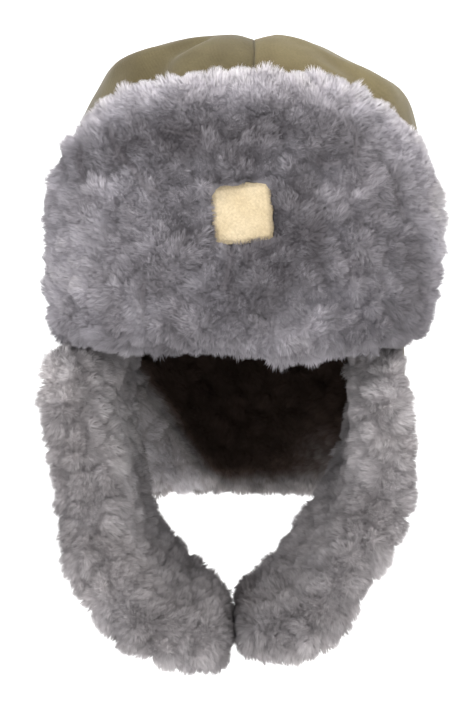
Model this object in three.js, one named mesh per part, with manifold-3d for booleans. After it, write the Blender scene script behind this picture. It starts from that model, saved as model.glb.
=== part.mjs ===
// A military winter hat of the ushanka kind, worn with its flaps down.
// A crown of four cloth panels carries a deep fur front flap, folded up against its front, and a fur
// curtain, a neck flap between two ear flaps whose ends are fastened together below the chin.
// Millimetres, +Z up, the face looks along -Y and the wearer's left is +X. The tables count heights
// from the rim, where the flaps are sewn on; the group is then lowered so that its origin is the
// point under the crown where the hat sits on the head.
import * as THREE from "three";
import { mergeVertices } from "three/addons/utils/BufferGeometryUtils.js";
import Module from "manifold-3d";

const wasm = await Module();
wasm.setup();

// Driving sizes
const RIM_HALF_WIDTH = 91;
const CROWN_HEIGHT = 171;
const CROWN_CLOTH = 2;
const FLAP_CLOTH = 3; // two layers of cloth with wadding between them
const CLEARANCE = 0.4; // between two pieces that are sewn together
const SEAM_GAP = 0.4; // between two crown panels
const PANEL_JOIN = 1.2; // between the cloth of the neck flap and of an ear flap
const LOCK_PITCH = 11; // the spacing of the fur's locks
const PATCH_SIDE = 32.5;
const PATCH_THICK = 2;
const TAB_THICK = 2;
const SEAT_HEIGHT = CROWN_HEIGHT - CROWN_CLOTH;

const radians = THREE.MathUtils.degToRad;
const clamp = THREE.MathUtils.clamp;
const lerp = THREE.MathUtils.lerp;

// A table's rows as objects, from the names of its columns.
function tableOf(columns, rows) {
  return rows.map((row) => Object.fromEntries(columns.map((column, k) => [column, row[k]])));
}

// The crown, from the rim to the point where the seams cross: how high it is and how far it reaches
// to each side of the seams' crossing, as shares of its height and of the rim's half width. "up" is
// the share of the way along a panel, and "middle" is how far the crossing lies to the left.
const CROWN_SHAPE = 2.3; // exponent of its plan: 2 is an ellipse, more is squarer
const CROWN = tableOf(
  ["up", "height", "right", "left", "front", "back", "middle"],
  [
    [0.0, 0.0023, 1.0, 1.0, 1.154, 1.176, 0],
    [0.16, 0.263, 1.044, 1.066, 1.165, 1.22, 0],
    [0.34, 0.538, 1.077, 1.104, 1.132, 1.22, 0.005],
    [0.46, 0.69, 1.066, 1.066, 1.077, 1.165, 0.022],
    [0.56, 0.813, 0.989, 0.945, 0.956, 1.055, 0.044],
    [0.66, 0.906, 0.879, 0.615, 0.791, 0.89, 0.055],
    [0.78, 0.965, 0.604, 0.407, 0.582, 0.637, 0.055],
    [0.9, 0.988, 0.341, 0.22, 0.308, 0.319, 0.055],
    [1.0, 0.992, 0.0176, 0.0176, 0.0176, 0.0176, 0.055],
  ],
).map((row) => ({
  up: row.up,
  height: row.height * CROWN_HEIGHT,
  right: row.right * RIM_HALF_WIDTH,
  left: row.left * RIM_HALF_WIDTH,
  front: row.front * RIM_HALF_WIDTH,
  back: row.back * RIM_HALF_WIDTH,
  middle: row.middle * RIM_HALF_WIDTH,
}));
const CROWN_MIDDLE = 0.4; // the height that the crown's surface is moved in towards, as a share
const SEAM_DIP = { depth: 2.6, width: 7 };
const FOLD_MM = { aDegree: 1.5, wholeWayUp: 260 }; // cloth for a degree of bearing and for all of "up"
// Folds of the crown's cloth: a valley has a positive depth and a ridge a negative one.
const CROWN_FOLDS = [
  { fromBearing: -32, fromUp: 0.78, toBearing: -38, toUp: 0.5, depth: 4.5, width: 10 },
  { fromBearing: -62, fromUp: 0.62, toBearing: -48, toUp: 0.68, depth: -2, width: 12 },
  { fromBearing: 24, fromUp: 0.84, toBearing: 62, toUp: 0.55, depth: -2, width: 9 },
  { fromBearing: 40, fromUp: 0.6, toBearing: 48, toUp: 0.45, depth: 3, width: 12 },
  { fromBearing: 128, fromUp: 0.72, toBearing: 140, toUp: 0.4, depth: 4, width: 12 },
  { fromBearing: 222, fromUp: 0.7, toBearing: 212, toUp: 0.36, depth: 4, width: 13 },
  { fromBearing: 166, fromUp: 0.5, toBearing: 176, toUp: 0.28, depth: 2.5, width: 12 },
];
const PANEL_BEARINGS = [0, 5, 15, 30, 45, 60, 75, 85, 90];
const PANEL_UPS = [0, 0.12, 0.25, 0.36, 0.45, 0.52, 0.59, 0.66, 0.74, 0.83, 0.92, 1];

// The front flap from the wearer's right end to the left end: where its cloth starts and ends in
// height, and how far the fur reaches below and above it.
const FRONT_FLAP = tableOf(
  ["bearing", "bottom", "top", "below", "above", "pile"],
  [
    [-61, 9, 73, 19, 8, 21.5],
    [-51, 4, 97, 15, 10, 22.5],
    [-38, 1, 113, 11, 14, 23],
    [-20, 0.5, 121, 12, 14, 22],
    [0, 0.5, 124, 12, 14, 21],
    [20, 0.5, 120, 17, 14, 21],
    [38, 1, 108, 11, 14, 22],
    [50, 4, 95, 12, 11, 19.5],
    [60, 9, 77, 13, 8, 17],
  ],
);
// How far the front flap's cloth stands off the crown.
const FRONT_STAND_OFF = [
  { height: 0, gap: 2 },
  { height: 45, gap: 4.5 },
  { height: 90, gap: 6.5 },
  { height: 124, gap: 12 },
];
const FRONT_LIP = { bottom: 1, top: 5 };
const FRONT_LEAN = 0.12; // how much thicker its pile is at the bottom, and thinner at the top
const FRONT_END_REACH = 12;

// Each ear flap from the rim to its end: its front and back edge, how far it bows outwards between
// them, how far the fur reaches past each edge, how deep its pile is inside, and how far the fur
// rolls out over the cloth at the front. x counts outwards from the middle.
const EAR_COLUMNS = [
  ...["frontX", "frontY", "frontZ", "backX", "backY", "backZ"],
  ...["bow", "front", "back", "pile", "roll"],
];
const RIGHT_EAR_FLAP = tableOf(EAR_COLUMNS, [
  [87, -62, -1, 80.5, 56, -0.6, 6.5, 12, 0, 24, 21],
  [96, -68, -20, 86, 57, -22, 5, 14, 0, 24, 17],
  [101, -73, -44, 87, 57, -48, 4, 15, 0, 24, 15],
  [93, -76, -71, 86, 56, -80, 4, 15, 0, 26, 16],
  [90, -79, -98, 78, 38, -101, 5, 15, 12, 26, 15],
  [85, -83, -123, 66, 16, -117, 5, 15, 13, 22, 16],
  [73, -88, -145, 51, -4, -132, 4, 15, 13, 18, 15],
  [55, -92, -162, 37, -18, -145, 3, 14, 13, 17, 15],
  [36, -92, -170, 26, -25, -154, 2, 14, 13, 17, 14],
  [21, -85, -173, 19, -33, -160, 1, 13, 12, 16, 13],
]);
const LEFT_EAR_FLAP = tableOf(EAR_COLUMNS, [
  [83, -62, -0.7, 80.5, 56, -0.6, 8, 11, 0, 24, 6],
  [83, -68, -20, 84, 57, -22, 7, 13, 0, 24, 6],
  [84, -73, -44, 83, 57, -48, 6, 14, 0, 24, 10],
  [85, -76, -71, 81, 56, -80, 5, 14, 0, 27, 10],
  [81, -79, -97, 69, 38, -100, 5, 14, 12, 27, 11],
  [69, -83, -119, 51, 16, -114, 5, 14, 13, 22, 11],
  [55, -88, -139, 37, -4, -129, 4, 15, 13, 18, 12],
  [42, -92, -157, 26, -18, -142, 3, 14, 13, 17, 14],
  [27, -92, -165, 15, -25, -151, 2, 14, 13, 17, 15],
  [8, -85, -168, 6, -33, -156, 1, 13, 12, 16, 13],
]);
const EAR_BACK_LIP = 8;
const EAR_END_REACH = 13;
// The plane where the ends of the two ear flaps press on each other.
const MEETING_PLANE = -5.5;
const MEETING_GAP = 0.6;
// The front flap's pile hangs over the top of the ear flaps' pile: how high they meet, and how far
// back they do.
const FRONT_OVER_EARS = { height: -7, back: -50 };

// The neck flap: how far its middle reaches back at each height. Its ends meet the ear flaps.
const NECK_FLAP = tableOf(
  ["height", "middle"],
  [
    [-0.3, 106],
    [-35, 110],
    [-80, 111],
  ],
);
const NECK_ARC = radians(80);
const NECK_PILE = 22;
const NECK_LIP = 8;
const NECK_BELOW = { right: 16, left: 20 }; // how far the fur hangs below the cloth at each end

const MATERIALS = {
  olive: new THREE.MeshStandardMaterial({ color: 0x8a7d57, roughness: 0.85, metalness: 0 }),
  fur: new THREE.MeshStandardMaterial({ color: 0x86828a, roughness: 1, metalness: 0 }),
  patch: new THREE.MeshStandardMaterial({ color: 0xeedcb4, roughness: 0.9, metalness: 0 }),
  tab: new THREE.MeshStandardMaterial({ color: 0x2a2a26, roughness: 0.9, metalness: 0 }),
};

// A table's column at a value of its key column, on a smooth curve through the rows.
function read(table, key, at, column) {
  const last = table.length - 1;
  let i = 0;
  const rising = table[last][key] > table[0][key] ? 1 : -1;
  while (i < last - 1 && (at - table[i + 1][key]) * rising > 0) i++;
  const slope = (k) => {
    const before = table[Math.max(k - 1, 0)];
    const after = table[Math.min(k + 1, last)];
    return (after[column] - before[column]) / (after[key] - before[key]);
  };
  const span = table[i + 1][key] - table[i][key];
  const t = (at - table[i][key]) / span;
  if (t < 0) return table[0][column] + slope(0) * t * span;
  if (t > 1) return table[last][column] + slope(last) * (t - 1) * span;
  const start = table[i][column];
  const end = table[i + 1][column];
  const t2 = t * t;
  const t3 = t2 * t;
  return (
    start * (2 * t3 - 3 * t2 + 1) +
    end * (3 * t2 - 2 * t3) +
    slope(i) * span * (t3 - 2 * t2 + t) +
    slope(i + 1) * span * (t3 - t2)
  );
}

// The same, with the rows evenly spaced from 0 to 1.
function readEven(table, at, column) {
  const rows = table.map((row, k) => ({ ...row, share: k / (table.length - 1) }));
  return read(rows, "share", at, column);
}

function power(value, exponent) {
  return Math.sign(value) * Math.abs(value) ** exponent;
}

// A point of the crown's plan, with bearing 0 at the front and 90 at the wearer's left.
function planPoint(reach, bearing, standOff = 0) {
  const angle = radians(bearing);
  const side = Math.sin(angle) > 0 ? reach.left : reach.right;
  const ahead = Math.cos(angle) > 0 ? reach.front : reach.back;
  return new THREE.Vector2(
    reach.middle + (side + standOff) * power(Math.sin(angle), 2 / CROWN_SHAPE),
    -(ahead + standOff) * power(Math.cos(angle), 2 / CROWN_SHAPE),
  );
}

function reachAt(key, at) {
  const reach = {};
  for (const side of ["left", "right", "front", "back", "middle"]) {
    reach[side] = read(CROWN, key, at, side);
  }
  return reach;
}

function turnBetween(a, b) {
  return ((((a - b) % 360) + 540) % 360) - 180;
}

// How far a fold moves the crown inwards at a place of it.
function foldDepth(fold, bearing, up) {
  const across = FOLD_MM.aDegree;
  const along = FOLD_MM.wholeWayUp;
  const run = [
    turnBetween(fold.toBearing, fold.fromBearing) * across,
    (fold.toUp - fold.fromUp) * along,
  ];
  const here = [
    turnBetween(bearing, fold.fromBearing) * across,
    (up - fold.fromUp) * along,
  ];
  const length = run[0] ** 2 + run[1] ** 2;
  const share = clamp((here[0] * run[0] + here[1] * run[1]) / length, 0, 1);
  const off = Math.hypot(here[0] - share * run[0], here[1] - share * run[1]);
  return fold.depth * Math.exp(-((off / fold.width) ** 2));
}

function crownPoint(up, bearing) {
  const reach = reachAt("up", up);
  const plan = planPoint(reach, bearing);
  const point = new THREE.Vector3(plan.x, plan.y, read(CROWN, "up", up, "height"));
  const nearSeam = Math.min(Math.abs(plan.x - reach.middle), Math.abs(plan.y));
  let inwards = SEAM_DIP.depth * Math.exp(-((nearSeam / SEAM_DIP.width) ** 2));
  for (const fold of CROWN_FOLDS) inwards += foldDepth(fold, bearing, up);
  inwards *= clamp(up * 6, 0, 1) * clamp((1 - up) * 12, 0.25, 1);
  const outwards = point
    .clone()
    .sub(new THREE.Vector3(0, 0, CROWN_HEIGHT * CROWN_MIDDLE))
    .normalize();
  return point.addScaledVector(outwards, -inwards);
}

// A closed mesh from points and triangles, turned to face outwards.
function closedGeometry(points, triangles) {
  let volume = 0;
  for (const [a, b, c] of triangles) {
    volume += points[a].dot(points[b].clone().cross(points[c]));
  }
  const geometry = new THREE.BufferGeometry();
  const coordinates = points.flatMap((p) => [p.x, p.y, p.z]);
  geometry.setAttribute("position", new THREE.Float32BufferAttribute(coordinates, 3));
  geometry.setIndex(triangles.flatMap(([a, b, c]) => (volume < 0 ? [a, c, b] : [a, b, c])));
  return geometry;
}

function named(name, geometry, material) {
  geometry.computeVertexNormals();
  const mesh = new THREE.Mesh(geometry, material);
  mesh.name = name;
  return mesh;
}

function toSolid(geometry) {
  const bare = geometry.clone();
  bare.deleteAttribute("normal");
  bare.deleteAttribute("uv");
  const merged = mergeVertices(bare, 1e-4);
  const mesh = new wasm.Mesh({
    numProp: 3,
    vertProperties: new Float32Array(merged.attributes.position.array),
    triVerts: new Uint32Array(merged.index.array),
  });
  return new wasm.Manifold(mesh);
}

function toGeometry(solid) {
  const mesh = solid.getMesh();
  const geometry = new THREE.BufferGeometry();
  const coordinates = new THREE.Float32BufferAttribute(mesh.vertProperties, 3);
  geometry.setAttribute("position", coordinates);
  geometry.setIndex(new THREE.BufferAttribute(mesh.triVerts, 1));
  return geometry;
}

// A wall between two grids of points, rows[i][j], closed along its edges.
function wallGeometry(outer, inner) {
  const rows = outer.length;
  const columns = outer[0].length;
  const points = [...outer.flat(), ...inner.flat()];
  const at = (layer, i, j) => layer * rows * columns + i * columns + j;
  const triangles = [];
  const quad = (a, b, c, d) => triangles.push([a, b, c], [a, c, d]);
  for (let i = 0; i < rows - 1; i++) {
    for (let j = 0; j < columns - 1; j++) {
      quad(at(0, i, j), at(0, i, j + 1), at(0, i + 1, j + 1), at(0, i + 1, j));
      quad(at(1, i, j), at(1, i + 1, j), at(1, i + 1, j + 1), at(1, i, j + 1));
    }
  }
  for (let i = 0; i < rows - 1; i++) {
    const end = columns - 1;
    quad(at(0, i, 0), at(0, i + 1, 0), at(1, i + 1, 0), at(1, i, 0));
    quad(at(0, i, end), at(1, i, end), at(1, i + 1, end), at(0, i + 1, end));
  }
  for (let j = 0; j < columns - 1; j++) {
    const end = rows - 1;
    quad(at(0, 0, j), at(1, 0, j), at(1, 0, j + 1), at(0, 0, j + 1));
    quad(at(0, end, j), at(0, end, j + 1), at(1, end, j + 1), at(1, end, j));
  }
  return closedGeometry(points, triangles);
}

// One of the crown's four panels, from the bearing of one seam to that of the next.
function crownPanel(fromBearing) {
  const gridAt = (depth) =>
    PANEL_UPS.map((up) =>
      PANEL_BEARINGS.map((turn) => {
        const reach = reachAt("up", up);
        const corner = planPoint(reach, fromBearing + 45);
        const radius = Math.hypot(corner.x - reach.middle, corner.y);
        const trim = THREE.MathUtils.radToDeg(SEAM_GAP / 2 / radius) * 1.6;
        const bearing = fromBearing + lerp(trim, 90 - trim, turn / 90);
        const step = 0.004;
        const point = crownPoint(up, bearing);
        const across = crownPoint(up, bearing + 1).sub(crownPoint(up, bearing - 1));
        const along = crownPoint(Math.min(up + step, 1), bearing).sub(
          crownPoint(Math.max(up - step, 0), bearing),
        );
        return point.addScaledVector(across.cross(along).normalize(), -depth);
      }),
    );
  return wallGeometry(gridAt(0), gridAt(CROWN_CLOTH));
}

// The middle layer of each flap: a point for s along it and w across it, w from -1 to 1.
function frontSurface(s, w) {
  const bearing = lerp(FRONT_FLAP[0].bearing, FRONT_FLAP.at(-1).bearing, s);
  const bottom = read(FRONT_FLAP, "bearing", bearing, "bottom");
  const top = read(FRONT_FLAP, "bearing", bearing, "top");
  const height = lerp(bottom, top, (w + 1) / 2);
  const standOff = read(FRONT_STAND_OFF, "height", height, "gap") + FLAP_CLOTH / 2;
  const plan = planPoint(reachAt("height", height), bearing, standOff);
  return new THREE.Vector3(plan.x, plan.y, height);
}

function earSurface(table, side) {
  return (s, w) => {
    const value = (column) => readEven(table, s, column);
    const share = (w + 1) / 2;
    const bow = 4 * value("bow") * share * (1 - share);
    return new THREE.Vector3(
      side * (lerp(value("frontX"), value("backX"), share) + bow),
      lerp(value("frontY"), value("backY"), share),
      lerp(value("frontZ"), value("backZ"), share),
    );
  };
}
const rightEarSurface = earSurface(RIGHT_EAR_FLAP, -1);
const leftEarSurface = earSurface(LEFT_EAR_FLAP, 1);

// An ear flap's back edge at a height above the neck flap's lower edge.
function earBackEdge(table, height) {
  const upper = table.slice(0, 4);
  return {
    x: read(upper, "backZ", height, "backX"),
    y: read(upper, "backZ", height, "backY"),
  };
}

function neckSurface(s, w) {
  const height = lerp(NECK_FLAP[0].height, NECK_FLAP.at(-1).height, (w + 1) / 2);
  const turn = lerp(-1, 1, s);
  const edge = earBackEdge(turn < 0 ? RIGHT_EAR_FLAP : LEFT_EAR_FLAP, height);
  const start = edge.y + PANEL_JOIN;
  const middle = read(NECK_FLAP, "height", height, "middle");
  const bulge = (Math.cos(turn * NECK_ARC) - Math.cos(NECK_ARC)) / (1 - Math.cos(NECK_ARC));
  return new THREE.Vector3(
    ((edge.x - 0.25) * Math.sin(turn * NECK_ARC)) / Math.sin(NECK_ARC),
    start + (middle - start) * bulge,
    height,
  );
}

// The local directions of a flap at s, w, with the pile on the side that pileSide says.
function frameOf(flap, s, w) {
  const step = 1e-3;
  const difference = (ds, dw) => {
    const s0 = clamp(s - ds, 0, 1);
    const s1 = clamp(s + ds, 0, 1);
    const w0 = clamp(w - dw, -1, 1);
    const w1 = clamp(w + dw, -1, 1);
    return flap.surface(s1, w1).sub(flap.surface(s0, w0)).normalize();
  };
  const along = difference(step, 0);
  const across = difference(0, step);
  const normal = along.clone().cross(across).normalize().multiplyScalar(flap.pileSide);
  return { point: flap.surface(s, w), along, across, normal };
}

// A point of a flap's own space: past its ends by ahead, past its sides by aside, off it by off.
function place(flap, { s, ahead = 0, w, aside = 0, off }) {
  const frame = frameOf(flap, s, w);
  return frame.point
    .addScaledVector(frame.along, ahead)
    .addScaledVector(frame.across, aside)
    .addScaledVector(frame.normal, off);
}

function halfWidth(flap, s) {
  let length = 0;
  const steps = 16;
  for (let k = 0; k < steps; k++) {
    const from = lerp(-1, 1, k / steps);
    const to = lerp(-1, 1, (k + 1) / steps);
    length += flap.surface(s, from).distanceTo(flap.surface(s, to));
  }
  return length / 2;
}

function clothGeometry(flap) {
  const gridAt = (off) =>
    flap.stations.map((s) => flap.threads.map((w) => place(flap, { s, w, off })));
  return wallGeometry(gridAt(FLAP_CLOTH / 2), gridAt(-FLAP_CLOTH / 2));
}

// Repeatable scatter, from 0 to 1, for the length of a lock.
function scatter(i, j) {
  const wave = Math.sin(i * 12.9898 + j * 78.233) * 43758.5453;
  return wave - Math.floor(wave);
}

// Where the fur doesn't reach past an edge of the cloth it ends in a small step there.
const CLOSED_EDGE = { reach: 0.35, radius: 3, step: 0.4, inset: 0.12 };
const OPEN_EDGE = 1.5; // the fur wraps round an edge that it reaches past by more than this
const ROUND_STEPS = 3; // steps round each long edge of the pile
const LIP_FOLD = 0.65; // where the lip turns, as a share of the way past the edge

// A section through the fur in a flap's own space. shrink is 1 on the cloth and falls to 0 past an
// end, where the fur closes round the cloth's edge and has no room for it.
function furSection(flap, station, index) {
  const { s, ahead, shrink, overCloth } = station;
  const half = halfWidth(flap, s);
  const pileAt = (aside) => flap.pile(s) * shrink * (1 - flap.lean * clamp(aside / half, -1, 1));
  const bed = FLAP_CLOTH / 2 + CLEARANCE;
  const past = (side) => Math.max(flap.past(s, side), 0);
  const isOpen = (side) => past(side) > OPEN_EDGE;
  const reach = (side) =>
    half + (isOpen(side) ? past(side) * lerp(0.35, 1, shrink) : CLOSED_EDGE.reach);
  const foot = (side) => (isOpen(side) || !overCloth ? 0 : bed + CLOSED_EDGE.step);
  const radius = (side) =>
    (isOpen(side) ? past(side) * 0.8 : CLOSED_EDGE.radius) + flap.pile(s) * shrink * 0.3;
  const points = [];
  const put = (aside, off, normal) => points.push({ aside, off, normal });
  const putRound = (side, k) => {
    const angle = (Math.PI / 2) * (k / ROUND_STEPS);
    const aside = side * (reach(side) - radius(side) * (1 - Math.cos(angle)));
    const off = lerp(foot(side), pileAt(aside), Math.sin(angle));
    put(aside, off, [side * Math.cos(angle), Math.sin(angle)]);
  };
  for (let k = 0; k < ROUND_STEPS; k++) putRound(-1, k);
  const from = -reach(-1) + radius(-1);
  const to = reach(1) - radius(1);
  for (const share of evenly(0, 1, flap.flatSteps)) {
    const aside = lerp(from, to, share);
    put(aside, pileAt(aside), [0, 1]);
  }
  for (let k = ROUND_STEPS - 1; k >= 0; k--) putRound(1, k);
  const locks = points.length;
  for (let j = 0; j < locks; j++) {
    const point = points[j];
    const side = point.normal[0] < 0 ? -1 : 1;
    const closed = !isOpen(side) && point.normal[0] !== 0;
    if ((index + j) % 2 || station.plain || closed) continue;
    const rise = flap.lock * (0.5 + 0.9 * scatter(index, j)) * lerp(0.4, 1, shrink);
    const inside = j > 1 && j < locks - 2 && overCloth;
    const drift = inside ? LOCK_PITCH * 0.5 : 0;
    point.aside += point.normal[0] * rise + drift * (scatter(j, index + 7) - 0.5);
    point.off += point.normal[1] * rise;
    point.ahead = flap.nap * rise + drift * (scatter(index + 3, j) - 0.5);
  }
  const lipPoints = (side) => {
    const lip = flap.lip(s, side) * lerp(0.3, 1, shrink);
    if (!isOpen(side) && overCloth) {
      return [
        { aside: side * (half + CLOSED_EDGE.reach * 0.8), off: bed + CLOSED_EDGE.step * 0.4 },
        { aside: side * (half + CLOSED_EDGE.reach * 0.6), off: bed },
      ];
    }
    return [
      { aside: side * lerp(half, reach(side), LIP_FOLD), off: -lip },
      { aside: side * (half + CLEARANCE), off: -lip * 0.8 },
    ];
  };
  const back = lipPoints(1);
  const floor = overCloth ? bed : -Math.min(flap.lip(s, 1), flap.lip(s, -1)) * shrink * 0.9;
  for (const w of flap.threads.toReversed()) {
    const atEdge = Math.abs(w) === 1 && overCloth;
    const beyond = atEdge ? (isOpen(w) ? CLEARANCE : CLOSED_EDGE.inset) : 0;
    back.push({ aside: w * (half + beyond), off: floor });
  }
  back.push(...lipPoints(-1).toReversed());
  return { points: [...points, ...back], locks, half, s, ahead };
}

// Past an end of the cloth the fur is rounded off: how far past it is, as a share of its reach there,
// and how much of the section is left.
const END_ROUNDING = tableOf(
  ["out", "shrink"],
  [
    [0.25, 0.97],
    [0.65, 0.78],
    [1, 0.34],
  ],
);

function furGeometry(flap) {
  const stations = flap.stations.map((s) => ({ s, ahead: 0, shrink: 1, overCloth: true }));
  const capOf = (s, sign, reach) => [
    { s, ahead: sign * CLEARANCE, shrink: 1, overCloth: true },
    ...END_ROUNDING.map(({ out, shrink }) => {
      return { s, ahead: sign * reach * out, shrink, overCloth: false };
    }),
  ];
  if (flap.startReach) stations.unshift(...capOf(0, -1, flap.startReach).toReversed());
  else Object.assign(stations[0], { plain: true, ahead: flap.trim });
  if (flap.endReach) stations.push(...capOf(1, 1, flap.endReach));
  else Object.assign(stations.at(-1), { plain: true, ahead: -flap.trim });
  const sections = stations.map((station, index) => furSection(flap, station, index));
  const count = sections[0].points.length;
  const locks = sections[0].locks;
  const points = [];
  for (const section of sections) {
    for (const local of section.points) {
      const w = clamp(local.aside / section.half, -1, 1);
      const aside = local.aside - w * section.half;
      const ahead = section.ahead + (local.ahead ?? 0);
      points.push(place(flap, { s: section.s, ahead, w, aside, off: local.off }));
    }
  }
  const at = (i, j) => i * count + (j % count);
  const triangles = [];
  for (let i = 0; i < sections.length - 1; i++) {
    for (let j = 0; j < count; j++) {
      const corners = [at(i, j), at(i + 1, j), at(i + 1, j + 1), at(i, j + 1)];
      const [a, b, c, d] = corners;
      const fold = j >= locks || (i + j) % 2 === 0;
      if (fold) triangles.push([a, b, d], [b, c, d]);
      else triangles.push([a, b, c], [a, c, d]);
    }
  }
  // An end is closed by a strip between the pile's side and the cloth's side of its section.
  const closeEnd = (i, flip) => {
    const aside = (j) => sections[i].points[j].aside;
    let outer = 0;
    let inner = count - 1;
    while (outer < locks - 1 || inner > locks) {
      const stepOuter = inner === locks || (outer < locks - 1 && aside(outer + 1) < aside(inner - 1));
      const third = stepOuter ? outer + 1 : inner - 1;
      const corners = flip ? [outer, inner, third] : [outer, third, inner];
      triangles.push(corners.map((j) => at(i, j)));
      if (stepOuter) outer++;
      else inner--;
    }
  };
  closeEnd(0, false);
  closeEnd(sections.length - 1, true);
  return closedGeometry(points, triangles);
}

function evenly(from, to, steps) {
  return Array.from({ length: steps + 1 }, (_, k) => lerp(from, to, k / steps));
}

// Stations along a flap, a lock's pitch apart.
function stationsOf(surface) {
  const steps = 40;
  let length = 0;
  for (let k = 0; k < steps; k++) {
    length += surface(k / steps, 0).distanceTo(surface((k + 1) / steps, 0));
  }
  return evenly(0, 1, Math.round(length / LOCK_PITCH));
}

const frontFlap = {
  surface: frontSurface,
  pileSide: 1,
  stations: stationsOf(frontSurface),
  threads: evenly(-1, 1, 7),
  flatSteps: 10,
  pile: (s) => readEven(FRONT_FLAP, s, "pile"),
  past: (s, side) => readEven(FRONT_FLAP, s, side < 0 ? "below" : "above"),
  lip: (s, side) => (side < 0 ? FRONT_LIP.bottom : FRONT_LIP.top),
  lean: FRONT_LEAN,
  lock: 5,
  nap: 0,
  startReach: FRONT_END_REACH,
  endReach: FRONT_END_REACH,
};

function earFlap(surface, table, side) {
  return {
    surface,
    pileSide: side,
    stations: stationsOf(surface),
    threads: evenly(-1, 1, 6),
    flatSteps: 7,
    pile: (s) => readEven(table, s, "pile"),
    past: (s, edge) => readEven(table, s, edge < 0 ? "front" : "back"),
    lip: (s, edge) => (edge < 0 ? readEven(table, s, "roll") : EAR_BACK_LIP),
    lean: 0,
    lock: 4.5,
    nap: 0.5,
    startReach: 0,
    endReach: EAR_END_REACH,
    trim: 0,
  };
}
const rightEarFlap = earFlap(rightEarSurface, RIGHT_EAR_FLAP, 1);
const leftEarFlap = earFlap(leftEarSurface, LEFT_EAR_FLAP, -1);

const neckFlap = {
  surface: neckSurface,
  pileSide: -1,
  stations: stationsOf(neckSurface),
  threads: evenly(-1, 1, 4),
  flatSteps: 5,
  pile: () => NECK_PILE,
  past: (s, side) => (side < 0 ? 0 : lerp(NECK_BELOW.right, NECK_BELOW.left, s)),
  lip: () => NECK_LIP,
  lean: 0,
  lock: 4,
  nap: 0,
  startReach: 0,
  endReach: 0,
  trim: PANEL_JOIN,
};

// The patch lies in a hollow of the front flap's pile, turned a little as the photograph shows.
const PATCH = { x: -2, height: 62, turn: -5, faceY: -129.5, hollow: 0.5, hollowDepth: 30 };

function patchGeometry(grow, depth) {
  const side = PATCH_SIDE + 2 * grow;
  const geometry = new THREE.BoxGeometry(side, depth, side);
  geometry.translate(0, depth / 2, 0);
  geometry.rotateY(radians(PATCH.turn));
  return geometry;
}

function patchHollow() {
  const depth = PATCH_THICK + PATCH.hollow + PATCH.hollowDepth;
  return patchGeometry(PATCH.hollow, depth).translate(
    PATCH.x,
    PATCH.faceY - PATCH.hollowDepth,
    PATCH.height,
  );
}

// The tab that fastens the ends of the ear flaps, laid under their cloth near the front edge.
const TAB = { overlap: 0.07, from: -0.62, to: -0.1 };

function tabGeometry(grow) {
  const off = -(FLAP_CLOTH / 2 + CLEARANCE + TAB_THICK / 2);
  const across = evenly(TAB.from, TAB.to, 2);
  const stops = [
    { flap: rightEarFlap, s: 1 - TAB.overlap, ahead: -grow },
    { flap: rightEarFlap, s: 1, ahead: 0 },
    { flap: leftEarFlap, s: 1, ahead: 0 },
    { flap: leftEarFlap, s: 1 - TAB.overlap, ahead: -grow },
  ];
  const gridAt = (extra) =>
    stops.map(({ flap, s, ahead }) =>
      across.map((w, j) => place(flap, { s, w, aside: (j - 1) * grow, ahead, off: off + extra })),
    );
  const half = TAB_THICK / 2 + grow;
  return wallGeometry(gridAt(half), gridAt(-half));
}

// A box between two corners, larger than the hat where a cut is open to that side.
const BEYOND = 200;
function boxBetween([x0, y0, z0], [x1, y1, z1]) {
  const box = new THREE.BoxGeometry(x1 - x0, y1 - y0, z1 - z0);
  return box.translate((x0 + x1) / 2, (y0 + y1) / 2, (z0 + z1) / 2);
}

// The space beyond the plane where the two ear flaps' ends press on each other.
function beyondMiddle(side) {
  const plane = MEETING_PLANE - (side * MEETING_GAP) / 2;
  const [from, to] = side > 0 ? [plane, BEYOND] : [-BEYOND, plane];
  return boxBetween([from, -BEYOND, -BEYOND], [to, BEYOND, BEYOND]);
}

// What the ear flaps' fur leaves free: the crown's place, and the front flap's fur over its front.
function aboveEarFur() {
  const { height, back } = FRONT_OVER_EARS;
  return [
    boxBetween([-BEYOND, -BEYOND, -MEETING_GAP], [BEYOND, BEYOND, BEYOND]),
    boxBetween([-BEYOND, -BEYOND, height - MEETING_GAP], [BEYOND, back, BEYOND]),
  ];
}

// What the front flap's fur leaves free beside the face opening: the ear flaps' fur and cloth.
function belowFrontFur() {
  const { height, back } = FRONT_OVER_EARS;
  const face = 60;
  const earCloth = { front: -66, out: 95 };
  const boxBeside = (side, [fromOut, fromY], [toOut, toY], top) => {
    const [from, to] = side > 0 ? [fromOut, toOut] : [-toOut, -fromOut];
    return boxBetween([from, fromY, -BEYOND], [to, toY, top]);
  };
  return [-1, 1].flatMap((side) => [
    boxBeside(side, [face, -97], [BEYOND, BEYOND], height),
    boxBeside(side, [face, earCloth.front], [earCloth.out, BEYOND], 0),
    boxBeside(side, [face, back - MEETING_GAP], [BEYOND, BEYOND], 0),
  ]);
}

function cut(geometry, ...cutters) {
  let solid = toSolid(geometry);
  for (const cutter of cutters) solid = solid.subtract(toSolid(cutter));
  return toGeometry(solid);
}

const hat = new THREE.Group();
const crown = new THREE.Group();
[
  ["crown_panel_front_left", 0],
  ["crown_panel_back_left", 90],
  ["crown_panel_back_right", 180],
  ["crown_panel_front_right", 270],
].forEach(([name, bearing]) => crown.add(named(name, crownPanel(bearing), MATERIALS.olive)));

const front = new THREE.Group();
front.add(named("front_flap_cloth", clothGeometry(frontFlap), MATERIALS.olive));
front.add(
  named(
    "front_flap_fur",
    cut(furGeometry(frontFlap), patchHollow(), ...belowFrontFur()),
    MATERIALS.fur,
  ),
);
const patch = named("badge_patch", patchGeometry(0, PATCH_THICK), MATERIALS.patch);
patch.position.set(PATCH.x, PATCH.faceY, PATCH.height);
front.add(patch);

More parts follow.
